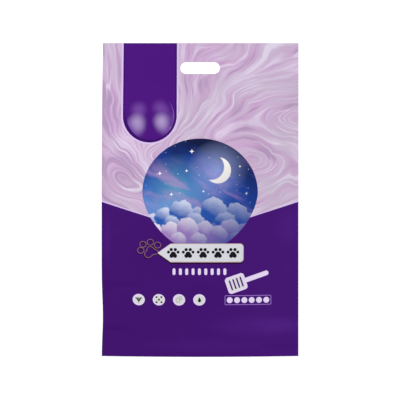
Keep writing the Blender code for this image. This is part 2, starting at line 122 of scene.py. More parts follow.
# The flow of the marbled ground: lines of equal level, drawn through places on the sheet
MARBLE_FLOW = (
    (0, ((3, 88), (6, 129), (15, 170), (38, 201), (65, 229), (83, 248))),
    (1, ((18, 7), (19, 61), (24, 107), (33, 152), (51, 186), (71, 212), (88, 237))),
    (2, ((36, 5), (37, 84), (39, 140), (51, 172), (72, 197), (89, 226))),
    (3, ((145, 7), (145, 84), (145, 138), (133, 172), (110, 190), (90, 206), (90, 222))),
    (4, ((165, 7), (162, 50), (161, 95), (156, 138), (142, 170), (119, 192), (101, 211))),
    (5, ((226, 7), (205, 18), (180, 30), (171, 61), (171, 95), (169, 129), (151, 161), (128, 186))),
    (6, ((262, 7), (248, 23), (228, 39), (201, 68), (194, 95), (187, 120), (165, 156), (142, 177))),
    (7, ((294, 7), (285, 27), (266, 48), (237, 70), (223, 91), (217, 116), (194, 138), (156, 172))),
    (8, ((325, 7), (307, 32), (271, 57), (244, 75), (229, 93), (227, 109), (212, 127), (180, 165))),
    (9, ((375, 18), (339, 39), (303, 55), (271, 66), (246, 82), (235, 96), (238, 111), (192, 174))),
    (10, ((375, 55), (325, 64), (289, 73), (260, 84), (245, 99), (247, 113), (228, 134), (201, 177))),
    (11, ((375, 73), (339, 78), (307, 84), (275, 93), (260, 102), (258, 116), (237, 138), (208, 178))),
    (12, ((375, 95), (339, 101), (303, 112), (273, 128), (248, 144), (228, 162), (214, 179))),
    (13, ((375, 113), (343, 121), (314, 127), (289, 139), (266, 152), (239, 164), (221, 180))),
    (14, ((375, 123), (355, 130), (337, 139), (348, 153), (375, 162))),
    (15, ((375, 138), (361, 144), (375, 152))),
    (13, ((226, 179), (235, 171), (255, 163), (287, 160), (316, 165), (339, 174), (375, 177))),
    (12, ((226, 187), (248, 177), (282, 173), (307, 182), (330, 191), (355, 194), (375, 207))),
    (11, ((235, 190), (255, 186), (287, 186), (312, 196), (327, 208), (348, 212), (375, 240))),
    (10, ((242, 196), (271, 192), (300, 196), (316, 205), (327, 217), (330, 233), (298, 251))),
    (9, ((266, 208), (294, 207), (309, 214), (314, 226), (305, 239), (294, 242))),
    (8, ((280, 220), (298, 222))),
    (10.5, ((339, 216), (346, 233), (337, 249), (316, 258), (299, 264))),
    (11.2, ((375, 260), (359, 247), (348, 256), (334, 267), (307, 276), (298, 278))),
    (12, ((373, 274), (355, 267), (343, 278), (327, 294), (307, 304), (289, 310))),
    (13, ((375, 285), (355, 298), (325, 312), (289, 329))),
    (-1, ((3, 165), (18, 190), (42, 211), (65, 233), (82, 253))),
    (-2, ((2, 192), (18, 204), (40, 222), (63, 242), (79, 260))),
    (-3, ((80, 268), (60, 253), (38, 233), (20, 229), (10, 242), (15, 263), (33, 278), (79, 285))),
    (-4, ((74, 273), (56, 260), (38, 244), (27, 247), (24, 258), (36, 270), (56, 276), (74, 276))),
    (-5, ((36, 257), (51, 265))),
    (-2, ((2, 231), (5, 260), (20, 281), (42, 292), (65, 298), (83, 308))),
    (-1, ((1, 265), (15, 290), (42, 301), (67, 312), (88, 324))),
    (0, ((1, 296), (38, 310), (90, 333))),
)
FLOW_SMOOTHING = 2e-5

# Streaks of the marble: turns per level across the flow and per metre along it, and share of the tone
STREAKS = (
    (0.50, 6.0, 0.16),
    (1.30, 8.0, 0.26),
    (2.60, 11.0, 0.30),
    (5.00, 15.0, 0.18),
    (11.0, 20.0, 0.10),
)

# How light the marble is at each level of its flow, from -1, dark, to 1, light, and how much that counts
LEVEL_TONES = (
    (-5, 0.2), (-4, -0.4), (-3.4, -0.7), (-2.8, -0.6), (-2, 0.3), (-1, -0.2),
    (0, -0.6), (0.9, 0.2), (1.6, 0.1), (2.2, -0.4), (3.2, 0.1), (4.2, -0.3),
    (4.8, 0.0), (5, 0.8), (5.25, 0.0), (6, -0.5), (6.6, 0.2), (7, -0.6),
    (7.5, 0.6), (8.3, 0.8), (9, -0.6), (9.4, 0.4), (10, -0.3), (10.5, 0.4),
    (11, -0.5), (12, 0.4), (12.6, 0.0), (13, 0.7), (13.4, -0.4), (14, 0.1),
    (15, -0.4),
)
LEVEL_SHARE = 0.10

# Painted shade over broad parts of the marble: place, reach across and down in millimetres, drop in tone;
# a minus is painted light
MARBLE_PAINTED_SHADING = (
    (10, 136, 50, 80, 0.14),
    (42, 242, 58, 52, 0.10),
    (226, 150, 40, 40, -0.04),
    (375, 120, 60, 40, 0.05),
)

# Round forms of the print are a little less tall than wide
SQUASH = 0.932

# The lower field, in millimetres: from the top edge to its tip, rise and run of its slope, its keyline
FIELD_DROP = 363.8
FIELD_SLOPE = (60.3, 188.0)
FIELD_KEYLINE = 2.2

# The banner and its glass ball, in millimetres
BANNER_MIDDLE = (91.8, 60.0)
BANNER_LENGTH = 261.0
BANNER_RADIUS = 51.6
BANNER_KEYLINE = 3.4
BALL_MIDDLE = (93.2, 139.6)
BALL_RADIUS = 46.0

# Light in the glass ball: place, radius, width of its soft edge in millimetres, and strength
BALL_HAZE = (
    (70.5, 127.5, 11.0, 20.0, 0.70),
    (111.0, 124.0, 10.5, 20.0, 0.62),
    (121.0, 131.0, 9.0, 18.0, 0.40),
    (54.0, 156.0, 9.0, 18.0, 0.60),
    (134.0, 146.0, 9.0, 18.0, 0.45),
    (66.0, 169.0, 10.0, 18.0, 0.65),
    (126.0, 166.0, 11.0, 20.0, 0.65),
)
BALL_GLEAMS = (
    (67.6, 150.5, 11.0, 21.0, 0.78),
    (71.0, 161.0, 9.0, 18.0, 0.42),
    (114.2, 149.0, 10.5, 20.0, 0.86),
    (115.0, 159.5, 9.0, 18.0, 0.42),
    (136.0, 165.0, 4.0, 10.0, 0.55),
)

# Rounds that the outlined paw's pad is blended from: place from the paw's middle and radius in millimetres
PAD_ROUNDS = ((-0.6, 5.2, 6.4), (-4.4, -3.4, 7.0), (3.6, 1.4, 6.4), (10.6, 0.4, 3.9))

# Painted sheen and painted shade in the ink, where slack film would catch more or less light: place, reach
# across and down in millimetres, strength
VIOLET_PAINTED_SHEEN = (
    (300, 542, 115, 27, 0.26),
    (342, 540, 55, 20, 0.18),
    (358, 350, 40, 50, 0.18),
    (10, 372, 11, 75, 0.20),
    (190, 578, 160, 18, 0.12),
)
# Painted shade, where slack film would lie in less light
VIOLET_PAINTED_SHADE = (
    (24, 464, 52, 15, 0.40),
    (18, 545, 44, 11, 0.40),
    (205, 480, 95, 40, 0.18),
    (110, 395, 100, 70, 0.18),
    (340, 579, 60, 8, 0.25),
)

# The label, in millimetres: its nose, from the top edge to its middle, its sizes, its nose's rise and run
LABEL_LEFT = 107.6
LABEL_DROP = 400.9
LABEL_LENGTH = 162.6
LABEL_HEIGHT = 34.0
LABEL_CORNER = 6.2
LABEL_SLOPE = (17.7, 25.2)

# Spacings of the rows on the sheet, the badges' radius, and the toes' reach and radius
MARK_PITCH = 28.4
PILL_PITCH = 12.1
BADGE_PITCH = 38.8
BADGE_RADIUS = 11.6
GRAIN_PITCH = 14.0
TOE_REACH = 10.4
TOE_RADIUS = 6.7

# The scoop and the frame under it
SCOOP_MIDDLE = (257.0, 459.0)
SCOOP_HANDLE = 65.0
SCOOP_SLOT_PITCH = 7.2
FRAME_MIDDLE = (279.5, 490.8)

# The round picture: reach to each side and to its foot, how square its lower half is, and its moon
PICTURE_MIDDLE = (188.2, 285.5)
PICTURE_REACH = 110.0
PICTURE_FOOT = 115.0
PICTURE_CURVE = 1.7
MOON_MIDDLE = (222, 243.4)
MOON_RADIUS = 25.0
MOON_CUT = (209, 236.9)

# Four-pointed stars: place and reach in millimetres
STARS = (
    (111.5, 249.4, 6.5), (162.5, 244.4, 5.0), (172.5, 207.4, 7.0), (133.5, 289.4, 6.0),
    (276.5, 287.4, 5.5), (194.5, 283.4, 4.5), (264, 236, 4.5),
)

# Puffs of cloud from the back to the front: place and radius in millimetres
FAR_PUFFS = (
    (96, 344, 18), (282, 344, 20), (122, 334, 20), (256, 330, 24), (184, 330, 18),
    (152, 324, 23), (214, 320, 25), (134, 346, 17), (236, 342, 20), (178, 344, 20),
)
NEAR_PUFFS = (
    (104, 362, 16), (274, 362, 17), (132, 360, 18), (244, 356, 20), (196, 358, 18),
    (164, 356, 21), (222, 366, 17), (146, 376, 15), (258, 376, 15), (184, 378, 16),
)


def linear(hex_colour):
    """An sRGB hex colour as linear red, green and blue."""
    levels = [int(hex_colour[start : start + 2], 16) / 255 for start in (0, 2, 4)]
    return tuple(v / 12.92 if v <= 0.04045 else ((v + 0.055) / 1.055) ** 2.4 for v in levels)


def ink(name, description, hex_colour):
    """A colour that the user can change."""
    return bpy.props.FloatVectorProperty(
        name=name,
        description=description,
        default=linear(hex_colour),
        min=0,
        max=1,
        size=3,
        subtype="COLOR",
    )


def size(name, description, default, low=0.0, high=1.0):
    """A length that the user can change."""
    return bpy.props.FloatProperty(
        name=name,
        description=description,
        default=default,
        min=low,
        max=high,
        unit="LENGTH",
        precision=5,
    )


class LitterBagFilm(bpy.types.PropertyGroup):
    """The film and how it lies."""

    gauge: size("Film gauge", "Thickness of one ply of film", 0.15 * MM, 0.05 * MM, MM)
    pitch: size("Mesh pitch", "Distance between the points of the film's mesh", 2.5 * MM, MM, 0.02)
    slot_length: size("Slot length", "Length of the punched hand slot", 76.5 * MM, 0.04, 0.12)
    slot_width: size("Slot width", "Width of the punched hand slot", 22.4 * MM, 0.01, 0.04)
    slot_drop: size("Slot drop", "From the top edge to the slot's middle", 47.7 * MM, 0.03, 0.1)
    slack: size("Slack", "Height of the film's slack waves", 1.0 * MM, 0, 0.005)
    slack_pitch: size("Slack pitch", "Size of the film's slack waves", 85 * MM, 0.01, 0.5)


class LitterBagInks(bpy.types.PropertyGroup):
    """The inks of the print."""

    marble_ground: ink("Marble ground", "Middle tone of the marbled ground", "CCB8D2")
    marble_light: ink("Marble light", "Light streaks of the marbled ground", "E0D3E8")
    marble_pink: ink("Marble pink", "Pink streaks of the marbled ground", "C9A9CC")
    marble_dark: ink("Marble dark", "Dark streaks of the marbled ground", "B298BB")
    violet_left: ink("Violet, left", "Lower field at its left edge", "3F0E6A")
    violet_right: ink("Violet, right", "Lower field at its right edge", "430F72")
    # A painted sheen: lighter ink where slack film would catch the light
    violet_painted_sheen: ink("Violet sheen", "Where the slack film catches the light", "5A2690")
    banner: ink("Banner", "Banner that hangs from the top edge", "4A117A")
    banner_shade: ink("Banner shade", "Shade round the ball in the banner", "360562")
    cast: ink("Printed shadow", "Shadow of the label and the paw", "1E0426")
    keyline: ink("Keyline", "Pale line round the dark fields", "D9C0EC")
    haze: ink("Ball haze", "Light inside the ball", "7A4DA6")
    gleam: ink("Ball gleam", "Gleams of the ball", "B09ACB")
    night: ink("Night", "Top of the night sky", "0E163F")
    midnight: ink("Midnight blue", "High sky", "193A8C")
    blue_hour: ink("Blue hour", "Middle of the sky", "2B5AAE")
    dusk: ink("Dusk", "Low sky", "6486CA")
    aurora: ink("Aurora", "Green blue glow in the sky", "7CC8D6")
    haze_pink: ink("Pink haze", "Pink haze in the sky and the clouds", "B58FC9")
    cloud_light: ink("Cloud light", "Lit sides of the near clouds", "F3EDF8")
    cloud_far: ink("Far cloud light", "Lit sides of the far clouds", "D5DCF3")
    moon_halo: ink("Moon halo", "The moon's halo and the foil's streaks", "A0B0EC")
    moonlight: ink("Moonlight", "Moon and stars", "FBF6F0")
    label: ink("Label", "Silvery label", "DADADD")
    bronze: ink("Bronze", "Rim of the label and line of the paw", "8A5F72")
    cream: ink("Cream", "Bright side of the label's rim", "D8C3B4")
    mark: ink("Marks", "Dark marks on the label and the badges", "141018")
    pale: ink("Pale", "Dots, badges and emblem", "E6D6F4")
    badge: ink("Badge", "Middle of the round badges", "D5D7D2")
    frame_line: ink("Frame line", "Thin frame of the emblem", "9E74C8")


class LitterBagStage(bpy.types.PropertyGroup):
    """The studio."""

    camera_height: size("Camera height", "Camera above the floor", 2.6, 0.5, 10)
    frame_width: size("Frame width", "Width that the camera sees on the floor", 0.7649, 0.1, 5)
    key_power: bpy.props.FloatProperty(
        name="Key light", description="Power of the key light", default=27.0, unit="POWER"
    )
    fill_power: bpy.props.FloatProperty(
        name="Fill light", description="Power of the fill light", default=14.0, unit="POWER"
    )
    sky: bpy.props.FloatProperty(
        name="Surrounding light", description="Strength of the light all round", default=0.52
    )


def add(kind, *inputs, tree=None, stops=(), **settings):
    """Adds a node with its settings to the tree of its inputs, and links or sets them in their order."""
    if tree is None:
        tree = next(value.id_data for value in inputs if isinstance(value, bpy.types.NodeSocket))
    node = tree.nodes.new(kind)
    for name, value in settings.items():
        setattr(node, name, value)
    for index, (position, colour) in enumerate(stops):
        elements = node.color_ramp.elements
        stop = elements[index] if index < 2 else elements.new(position)
        stop.position = position
        stop.color = colour
    sockets = [socket for socket in node.inputs if socket.enabled]
    for socket, value in zip(sockets, inputs):
        if isinstance(value, bpy.types.NodeSocket):
            tree.links.new(value, socket)
        elif value is not None:
            socket.default_value = value
    return next(socket for socket in node.outputs if socket.enabled)


def calc(operation, *inputs, **settings):
    """The result of a sum or the like with single values."""
    return add("ShaderNodeMath", *inputs, operation=operation, **settings)


def vector(operation, *inputs):
    """The result of a sum or the like with places or directions."""
    return add("ShaderNodeVectorMath", *inputs, operation=operation)


def smooth(value, *limits):
    """A value taken from one range to another, with soft ends."""
    return add(RANGE, value, *limits, interpolation_type="SMOOTHSTEP")


def ramp(value, *stops):
    """A colour that changes with a value, through stops of a value and a colour each."""
    return add(RAMP, value, stops=[(at, (*colour, 1.0)) for at, colour in stops])


def stretched_noise(place, stretch, detail=1.0, roughness=0.5):
    """Noise with a pitch of its own along each axis."""
    return add(NOISE, vector("MULTIPLY", place, stretch), 1.0, detail, roughness)


def parts(place):
    """The X and the Y of a place."""
    return add(SPLIT, place).node.outputs[:2]


def mirrored(place):
    """A place folded onto the right side of the Y axis, so that a shape shows on both sides."""
    x, y = parts(place)
    return add(JOIN, calc("ABSOLUTE", x), y)


def beside(place, middle):
    """How far a place lies beside and above or below a middle, whichever side it is on."""
    return vector("ABSOLUTE", vector("SUBTRACT", place, middle))


def turned(place, degrees):
    """A place turned about Z."""
    angle = math.radians(degrees)
    return add("ShaderNodeVectorRotate", place, None, angle, rotation_type="Z_AXIS")


def spot(left, top):
    """A place on the sheet, in millimetres from its left and top edges, as a point in metres."""
    return (left * MM - WIDTH / 2, LENGTH / 2 - top * MM, 0.0)


def covered(reach, radius, edge=INK_EDGE):
    """Full inside the radius, none outside, and a soft edge between."""
    return calc("MULTIPLY_ADD", reach, -1 / edge, radius / edge + 0.5, use_clamp=True)


def ring(reach, radius, width, edge=INK_EDGE):
    """Coverage of a line of a width at a radius, both in millimetres."""
    away = calc("SUBTRACT", reach, radius * MM)
    return covered(calc("ABSOLUTE", away), width / 2 * MM, edge)


def disc(place, middle, radius, edge=INK_EDGE):
    """Coverage of a round dot; the radius is in millimetres."""
    reach = vector("DISTANCE", place, middle)
    return covered(reach, radius * MM, edge)


def oval_reach(place, middle):
    """Distance from a spot, in which the print's round forms are round."""
    offset = vector("SUBTRACT", place, middle)
    return vector("LENGTH", vector("MULTIPLY", offset, (1.0, 1 / SQUASH, 1.0)))


def box_reach(place, middle, length, height, corner):
    """Distance from the core of a box with round corners; its sizes are in millimetres."""
    core = ((length / 2 - corner) * MM, (height / 2 - corner) * MM, 0.0)
    offset = vector("SUBTRACT", beside(place, middle), core)
    return vector("LENGTH", vector("MAXIMUM", offset, ORIGIN))


def box(place, middle, length, height, corner, edge=INK_EDGE):
    """Coverage of a box with round corners; its sizes are in millimetres."""
    reach = box_reach(place, middle, length, height, corner)
    return covered(reach, corner * MM, edge)


def half_plane(place, through, direction, edge=INK_EDGE):
    """Coverage of all that lies behind a line, which faces a direction in degrees."""
    facing = (math.cos(math.radians(direction)), math.sin(math.radians(direction)), 0.0)
    along = vector("DOT_PRODUCT", place, facing)
    level = facing[0] * through[0] + facing[1] * through[1]
    return covered(along, level, edge)


def row_place(place, first, spacing, count):
    """Places measured from the nearest of several spots in a row along X."""
    offset = vector("SUBTRACT", place, first)
    step = (spacing * MM, 10.0, 10.0)
    halfway = vector("ADD", offset, (spacing * MM / 2, 5.0, 5.0))
    last = ((count - 1) * spacing * MM, 0.0, 0.0)
    nearest = vector("MAXIMUM", vector("SNAP", halfway, step), ORIGIN)
    return vector("SUBTRACT", offset, vector("MINIMUM", nearest, last))


def union(*shapes):
    """Coverage of several shapes together."""
    whole = shapes[0]
    for shape in shapes[1:]:
        whole = calc("MAXIMUM", whole, shape)
    return whole


def without(shape, cut):
    """Coverage of a shape with another cut out of it."""
    return calc("SUBTRACT", shape, cut, use_clamp=True)


def inked(ground, shape, colour):
    """The ground with a colour printed over it where the shape covers it."""
    if not isinstance(colour, bpy.types.NodeSocket):
        colour = (*colour, 1.0)
    if not isinstance(ground, bpy.types.NodeSocket):
        ground = (*ground, 1.0)
    return add(MIX, shape, ground, colour, data_type="RGBA")


def soft_patch(place, left, top, reach, drop, strength):
    """Coverage that fades out from a spot over a reach across and a drop down, in millimetres."""
    offset = vector("SUBTRACT", place, spot(left, top))
    scale = (1 / (reach * MM), 1 / (drop * MM), 0.0)
    away = vector("LENGTH", vector("MULTIPLY", offset, scale))
    return smooth(away, 1.0, 0.2, 0.0, strength)


def marble(place, inks):
    """The marbled ground: streaks that follow the flow drawn on the film."""
    flow = {"attribute_name": "marble_flow", "attribute_type": "GEOMETRY"}
    flow = add("ShaderNodeAttribute", tree=place.id_data, **flow).node.outputs["Fac"]
    # The levels wander by a few millimetres, so that streaks part and meet
    for pitch, reach in ((11.0, 1.3), (42.0, 0.35)):
        wander = calc("SUBTRACT", add(NOISE, place, pitch, 1.0, 0.5), 0.5)
        flow = calc("MULTIPLY_ADD", wander, reach, flow)
    streaks = add(JOIN, flow, *parts(place))
    # Across the flow a level is 10 to 15 mm; along it a streak keeps its tone for 50 to 160 mm
    tone = 0.0
    for across, along, share in STREAKS:
        noise = stretched_noise(streaks, (across, along, along))
        tone = calc("MULTIPLY_ADD", noise, share, tone)
    first, last = LEVEL_TONES[0][0], LEVEL_TONES[-1][0]
    level = add(RANGE, flow, first, last, 0.0, 1.0)
    stops = [((at - first) / (last - first), (0.5 + rise / 2,) * 3) for at, rise in LEVEL_TONES]
    band = ramp(level, *stops)
    tone = calc("MULTIPLY_ADD", band, LEVEL_SHARE, tone)
    tone = calc("SUBTRACT", tone, 0.5 + LEVEL_SHARE / 2)
    # Smooth and streaky parts, 60 mm or so across
    presence = add(NOISE, place, 17.0, 1.0, 0.5)
    presence = add(RANGE, presence, 0.35, 0.65, 0.55, 1.5)
    tone = calc("MULTIPLY_ADD", tone, presence, 0.5)
    # Painted shade over broad parts of the marble, and painted light where the drop is a minus
    for patch in MARBLE_PAINTED_SHADING:
        tone = calc("SUBTRACT", tone, soft_patch(place, *patch))
    tones = (inks.marble_dark, inks.marble_pink, inks.marble_ground, inks.marble_light)
    ground = ramp(tone, *zip((0.38, 0.45, 0.52, 0.62), tones))
    # Pinker and greyer parts, 60 to 120 mm across, at the same lightness
    hue = stretched_noise(streaks, (0.35, 9.0, 9.0), 2.0)
    hue = add(RANGE, hue, 0.35, 0.65, 0.0, 1.0)
    tint = inked(linear("FAFFFB"), hue, linear("FFF8FF"))
    ground = add(MIX, 1.0, ground, tint, data_type="RGBA", blend_type="MULTIPLY")
    # Thin bright lines where a second set of streaks passes its middle tone; they come and go
    lines = stretched_noise(streaks, (0.8, 3.0, 3.0))
    lines = calc("ABSOLUTE", calc("SUBTRACT", lines, 0.5))
    lines = smooth(lines, 0.0, 0.016, 0.8, 0.0)
    strength = stretched_noise(streaks, (0.6, 14.0, 14.0))
    strength = smooth(strength, 0.42, 0.62, 0.0, 1.0)
    lines = calc("MULTIPLY", lines, strength)
    return inked(ground, lines, inks.marble_light)


def violet_field(place, inks):
    """The dark lower field under its pale keyline, with painted light that makes it a little lighter to the
    right.
    """
    folded = mirrored(place)
    slope = math.degrees(math.atan2(*FIELD_SLOPE))
    tip = (0.0, spot(0, FIELD_DROP)[1], 0.0)
    keyline_tip = (0.0, tip[1] + FIELD_KEYLINE * MM / math.cos(math.radians(slope)), 0.0)
    yield half_plane(folded, keyline_tip, 90 + slope), inks.keyline
    # Painted light: the ink grows a little lighter towards the right, as if lit from that side
    across = add(RANGE, parts(place)[0], -WIDTH / 2, WIDTH / 2, 0.0, 1.0)
    violet = inked(inks.violet_left, across, inks.violet_right)
    # Painted sheen and painted shade of the slack film, printed into the field's ink
    for patches, colour in ((VIOLET_PAINTED_SHEEN, inks.violet_painted_sheen), (VIOLET_PAINTED_SHADE, inks.banner_shade)):
        for patch in patches:
            violet = inked(violet, soft_patch(place, *patch), colour)
    yield half_plane(folded, tip, 90 + slope), violet


def banner(place, inks):
    """The banner from the top edge, with a glass ball in its round end."""
    middle = spot(*BANNER_MIDDLE)
    reach = box_reach(place, middle, 2 * BANNER_RADIUS, BANNER_LENGTH, BANNER_RADIUS)
    yield covered(reach, (BANNER_RADIUS + BANNER_KEYLINE) * MM, 1.2 * MM), inks.keyline
    whole = covered(reach, BANNER_RADIUS * MM)
    yield whole, inks.banner
    ball_reach = vector("DISTANCE", place, spot(*BALL_MIDDLE))
    glass = covered(ball_reach, BALL_RADIUS * MM, 1.6 * MM)
    # Deeper violet along the edge, and wider between the ball and the banner's round end
    edge = without(whole, covered(reach, (BANNER_RADIUS - 2.6) * MM, 2.4 * MM))
    low = half_plane(place, spot(0, 138), 90, 24 * MM)
    shade = calc("MULTIPLY", without(whole, glass), low)
    yield union(edge, shade), inks.banner_shade
    for lights, colour in ((BALL_HAZE, inks.haze), (BALL_GLEAMS, inks.gleam)):
        for left, top, radius, fade, strength in lights:
            light = disc(place, spot(left, top), radius, fade * MM)
            light = smooth(light, 0.0, 1.0, 0.0, strength)
            yield calc("MULTIPLY", light, glass), colour
    # A soft bright edge on the right side of the glass
    edge = ring(ball_reach, BALL_RADIUS - 1.4, 1.2, 1.4 * MM)
    right = disc(place, spot(138, 134), 14.0, 26 * MM)
    edge = calc("MULTIPLY", edge, right)
    yield calc("MULTIPLY", edge, 0.4), inks.gleam


def star(place, middle, radius):
    """Coverage of a four-pointed star with thin rays."""
    reach = calc("ADD", *(calc("POWER", part, 0.5) for part in parts(beside(place, middle))))
    limit = math.sqrt(radius * MM)
    return add(RANGE, reach, limit, limit * 0.8, 0.0, 1.0)


def cloud_bank(place, ground, puffs, shade, light):
    """Puffs of cloud painted one over the other, each lit from above on its right."""
    for left, top, radius in puffs:
        middle = spot(left, top)
        away = vector("DISTANCE", place, middle)
        puff = covered(away, radius * MM, 2.2 * MM)
        lit = vector("SUBTRACT", place, middle)
        lit = vector("DOT_PRODUCT", lit, (0.45, 0.89, 0.0))
        lit = add(RANGE, lit, -0.35 * radius * MM, 0.95 * radius * MM, 0.0, 1.0)
        ground = inked(ground, puff, inked(shade, lit, light))
    return ground


def picture_shape(place):
    """Coverage of the round picture: an oval above its middle, and straighter sides below."""
    offset = beside(place, spot(*PICTURE_MIDDLE))
    above = covered(oval_reach(offset, ORIGIN), PICTURE_REACH * MM)
    terms = []
    for part, reach in zip(parts(offset), (PICTURE_REACH, PICTURE_FOOT)):
        share = calc("DIVIDE", part, reach * MM)
        terms.append(calc("POWER", share, PICTURE_CURVE))
    reach = calc("ADD", *terms)
    below = covered(reach, 1.0, PICTURE_CURVE * INK_EDGE / (PICTURE_REACH * MM))
    lower = half_plane(place, spot(*PICTURE_MIDDLE), 90)
    return add(RANGE, lower, 0.0, 1.0, above, below)


def picture(place, inks):
    """The round picture: a night sky with a moon, stars and banks of cloud."""
    inside = picture_shape(place)
    sideways, height = parts(place)
    # The sky darkens upwards, bent by soft haze 60 to 90 mm across
    haze = add(NOISE, place, 14.0, 3.0, 0.5)
    level = add(RANGE, height, spot(0, 388)[1], spot(0, 183)[1], 0.0, 1.0)
    level = calc("MULTIPLY_ADD", haze, 0.55, level)
    level = calc("SUBTRACT", level, 0.275)
    # It also darkens to the right
    sideways = add(RANGE, sideways, spot(200, 0)[0], spot(300, 0)[0], 0.0, 0.38)
    level = calc("ADD", level, sideways)
    blues = (inks.dusk, inks.blue_hour, inks.midnight, inks.night)
    sky = ramp(level, *zip((0.36, 0.56, 0.77, 0.96), blues))
    # A green blue glow on the left, and pink haze in slanting wisps
    glow = disc(place, spot(146, 280), 30.0, 80 * MM)
    glow = calc("MULTIPLY", calc("MULTIPLY", glow, haze), 0.8)
    sky = inked(sky, glow, inks.aurora)
    wisp = vector("MULTIPLY", turned(place, 28), (9.0, 26.0, 1.0))
    wisp = add(NOISE, wisp, 1.0, 4.0, 0.55, None, 0.4)
    wisp = smooth(wisp, 0.45, 0.66, 0.0, 0.95)
    low = add(RANGE, height, spot(0, 215)[1], spot(0, 280)[1], 0.0, 1.0)
    wisp = calc("MULTIPLY", wisp, low)
    sky = inked(sky, wisp, inks.haze_pink)
    # Sparkles about 20 mm apart, a few of them bright
    dust = add(VORONOI, place, 52.0, voronoi_dimensions="2D").node
    bright = parts(dust.outputs["Color"])[0]
    bright = add(RANGE, bright, 0.40, 0.9, 0.0, 1.0)
    dot = add(RANGE, dust.outputs["Distance"], 0.060, 0.02, 0.0, 1.0)
    dot = calc("MULTIPLY", dot, bright)
    sky = inked(sky, dot, inks.moonlight)
    # The moon, with a soft wide halo
    halo = disc(place, spot(*MOON_MIDDLE), MOON_RADIUS + 2, 64 * MM)
    sky = inked(sky, calc("MULTIPLY", halo, 0.75), inks.moon_halo)
    moon = disc(place, spot(*MOON_MIDDLE), MOON_RADIUS, 0.8 * MM)
    moon = without(moon, disc(place, spot(*MOON_CUT), MOON_RADIUS, 2.0 * MM))
    sky = inked(sky, moon, inks.moonlight)
    for left, top, radius in STARS:
        sky = inked(sky, star(place, spot(left, top), radius), inks.moonlight)
    # Clouds with fluffy edges: their places wander by up to 5 mm
    stray = add(NOISE, place, 70.0, 4.0, 0.65).node.outputs["Color"]
    stray = vector("SUBTRACT", stray, (0.5, 0.5, 0.5))
    stray = vector("MULTIPLY_ADD", stray, (0.016, 0.016, 0.0), place)
    for drop, mist, puffs, shade, light in (
        (346, inks.dusk, FAR_PUFFS, inks.blue_hour, inks.cloud_far),
        (372, inks.haze_pink, NEAR_PUFFS, inks.haze_pink, inks.cloud_light),
    ):
        sky = inked(sky, half_plane(stray, spot(0, drop), 90, 14 * MM), mist)
        sky = cloud_bank(stray, sky, puffs, shade, light)
    # The lower right lies in the dark
    dark = half_plane(place, spot(205, 334), 130, 130 * MM)
    sky = inked(sky, calc("MULTIPLY", dark, 0.9), inks.midnight)
    yield inside, sky


def paw_outline(place, inks):
    """A paw print in a thin bronze line, with a dark shadow low on its left."""
    paw = vector("SUBTRACT", place, spot(93.8, 400.0))
    lowered = vector("ADD", paw, (1.1 * MM, 1.6 * MM, 0.0))
    for origin, colour, width in ((lowered, inks.cast, 2.2), (paw, inks.bronze, 1.4)):
        lines = []
        for run, rise in ((-18.9, 3.8), (-14.5, 15.4), (-0.4, 19.5), (13.4, 14.1)):
            away = oval_reach(origin, (run * MM, rise * MM, 0.0))
            lines.append(calc("SUBTRACT", away, (TOE_RADIUS - width / 2) * MM))
        pad = None
        for run, rise, radius in PAD_ROUNDS:
            away = oval_reach(origin, (run * MM, rise * MM, 0.0))
            away = calc("SUBTRACT", away, radius * MM)
            if pad is None:
                pad = away
            else:
                pad = calc("SMOOTH_MIN", pad, away, 5 * MM)
        for away in (*lines, pad):
            away = calc("ABSOLUTE", away)
            yield covered(away, width / 2 * MM), colour


def label_shape(place, grow, edge=INK_EDGE):
    """Coverage of the label, pointed at its left end, grown by some millimetres."""
    middle = spot(LABEL_LEFT + 100, LABEL_DROP)
    body = spot(LABEL_LEFT + LABEL_LENGTH - 100 + grow, LABEL_DROP)
    body = box(place, body, 200.0, LABEL_HEIGHT + 2 * grow, LABEL_CORNER + grow, edge)
    offset = vector("SUBTRACT", place, middle)
    along, up = parts(offset)
    folded = add(JOIN, along, calc("ABSOLUTE", up))
    nose = ((-100 - grow) * MM, 0.0, 0.0)
    slope = math.degrees(math.atan2(*LABEL_SLOPE))
    point = half_plane(folded, nose, 90 + slope, edge)
    return calc("MINIMUM", body, point)


def label(place, inks):
    """The silvery label with its rim, its shadow and a row of dark paw prints."""
    lower = vector("ADD", place, (0.7 * MM, 2.3 * MM, 0.0))
    yield label_shape(lower, 1.3, 1.2 * MM), inks.cast
    yield label_shape(place, 1.1), inks.bronze
    rim = add(RANGE, parts(place)[1], spot(0, 384)[1], spot(0, 420)[1], 1.0, 0.5)
    rim = inked(inks.bronze, rim, inks.cream)
    yield label_shape(place, 0.8), rim
    # Brushed silver foil: streaks about 1 mm apart that drift in tone over 30 mm
    foil = stretched_noise(place, (35.0, 260.0, 0.0), 3.0, 0.6)
    foil = add(RANGE, foil, 0.3, 0.7, 0.0, 0.16)
    silver = inked(inks.label, foil, inks.moon_halo)
    yield label_shape(place, -0.4, 1.2 * MM), silver
    mark = mirrored(row_place(place, spot(137.1, LABEL_DROP + 3.2), MARK_PITCH, 5))
    # The two rounds of each pad, then its toes
    prints = [
        disc(mark, (0.0, 0.6 * MM, 0.0), 5.3),
        disc(mark, (3.4 * MM, -2.2 * MM, 0.0), 3.9),
    ]
    for turn, radius in ((28, 2.8), (68, 3.1)):
        turn = math.radians(turn)
        toe = (TOE_REACH * MM * math.cos(turn), TOE_REACH * MM * math.sin(turn), 0.0)
        prints.append(disc(mark, toe, radius))
    yield union(*prints), inks.mark


def pills(place, inks):
    """A row of nine upright pills."""
    nearest = row_place(place, spot(186.9 - 4 * PILL_PITCH, 436.5), PILL_PITCH, 9)
    yield box(nearest, ORIGIN, 5.6, 12.6, 2.8), inks.pale


